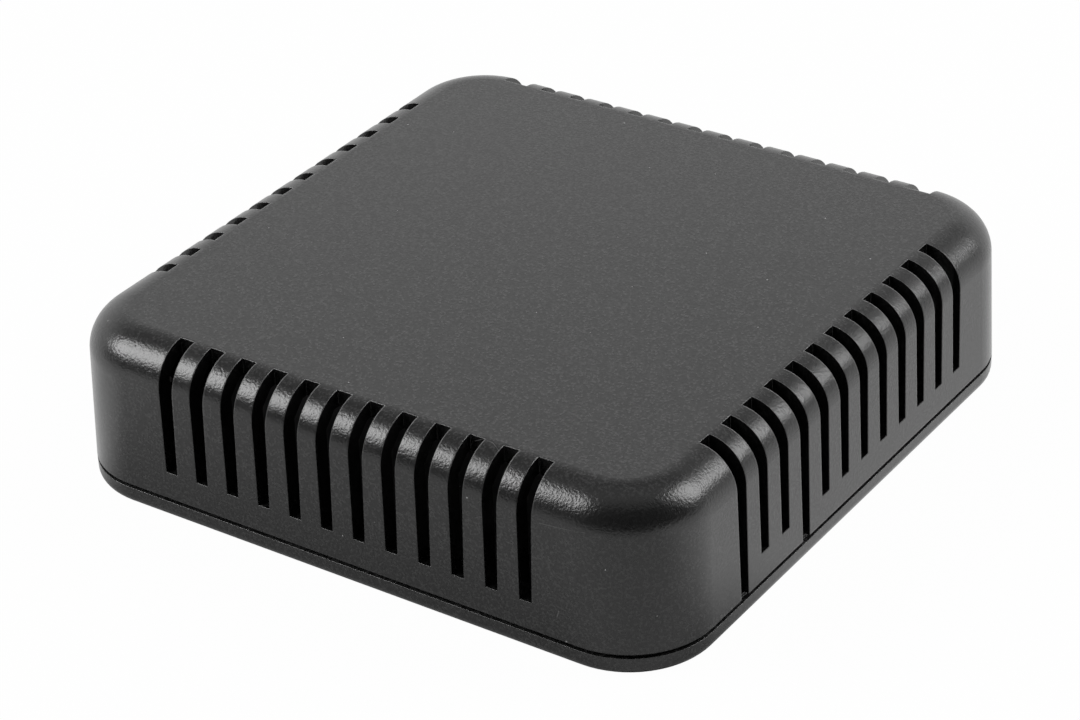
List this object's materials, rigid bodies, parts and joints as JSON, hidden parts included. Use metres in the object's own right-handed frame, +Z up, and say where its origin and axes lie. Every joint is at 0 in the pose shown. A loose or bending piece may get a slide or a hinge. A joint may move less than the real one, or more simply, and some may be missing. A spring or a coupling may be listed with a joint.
{
  "type": "vented plastic enclosure",
  "caption": "Shallow square plastic housing with rounded corners, a rolled top edge, narrow vents over all four edges, and a cover that clips over a thin base.",
  "frame": {"origin": "middle of the underside, on the surface it stands on", "axes": "+Z up through the cover's top; -Y is the front side, with twelve vents and no tongue; the snap tongues are near the front of the +X and -X sides"},
  "size_m": [0.08, 0.08, 0.0208],
  "materials": {
    "cover_plastic": "fine spark-eroded texture, black",
    "base_plastic": "fine spark-eroded texture, black"
  },
  "bodies": {
    "root": {"cover": "cover_plastic", "base": "base_plastic"}
  },
  "joints": []
}
